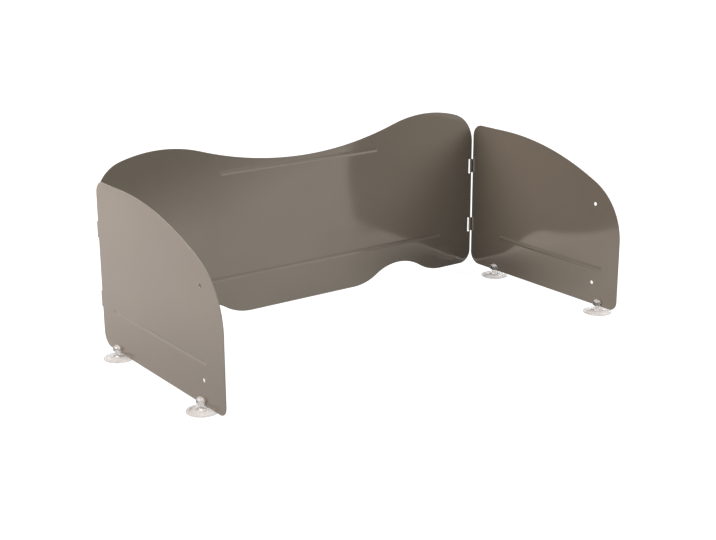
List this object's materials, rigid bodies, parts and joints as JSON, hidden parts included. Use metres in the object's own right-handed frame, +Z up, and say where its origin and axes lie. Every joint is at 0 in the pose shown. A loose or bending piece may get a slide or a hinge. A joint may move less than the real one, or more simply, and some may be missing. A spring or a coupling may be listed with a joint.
{
  "type": "camp table windscreen",
  "caption": "Folding sheet-metal wind guard for a table stove: dipped back panel with hose notches, side wings on rolled-tab hinges, clear suction-cup feet.",
  "frame": {"origin": "on the table, under the middle of the object's bounding box", "axes": "+X to the right seen from the open front, -Y towards the open front, +Z up"},
  "size_m": [0.7488, 0.3518, 0.2849],
  "materials": {
    "painted_sheet": "semi-gloss taupe-bronze baked paint on sheet metal",
    "clear_cup": "clear soft PVC, glossy"
  },
  "bodies": {
    "back": {"back_panel": "painted_sheet"},
    "wing_left": {"left_wing": "painted_sheet"},
    "wing_right": {"right_wing": "painted_sheet"},
    "foot_left_rear": {"cup_left_rear": "clear_cup"},
    "foot_left_front": {"cup_left_front": "clear_cup"},
    "foot_right_rear": {"cup_right_rear": "clear_cup"},
    "foot_right_front": {"cup_right_front": "clear_cup"}
  },
  "joints": [
    {"name": "left_wing_fold", "type": "hinge", "parent": "back", "child": "wing_left", "pos_m": [-0.35015, 0.1736, 0.01], "axis": [0, 0, -1], "range_deg": [-80, 180]},
    {"name": "right_wing_fold", "type": "hinge", "parent": "back", "child": "wing_right", "pos_m": [0.35015, 0.1736, 0.01], "axis": [0, 0, 1], "range_deg": [-80, 180]},
    {"name": "cup_left_rear_pull_off", "type": "slide", "parent": "wing_left", "child": "foot_left_rear", "axis": [0, 0, -1], "range_m": [0, 0.0112]},
    {"name": "cup_left_front_pull_off", "type": "slide", "parent": "wing_left", "child": "foot_left_front", "axis": [0, 0, -1], "range_m": [0, 0.0112]},
    {"name": "cup_right_rear_pull_off", "type": "slide", "parent": "wing_right", "child": "foot_right_rear", "axis": [0, 0, -1], "range_m": [0, 0.0112]},
    {"name": "cup_right_front_pull_off", "type": "slide", "parent": "wing_right", "child": "foot_right_front", "axis": [0, 0, -1], "range_m": [0, 0.0112]}
  ]
}
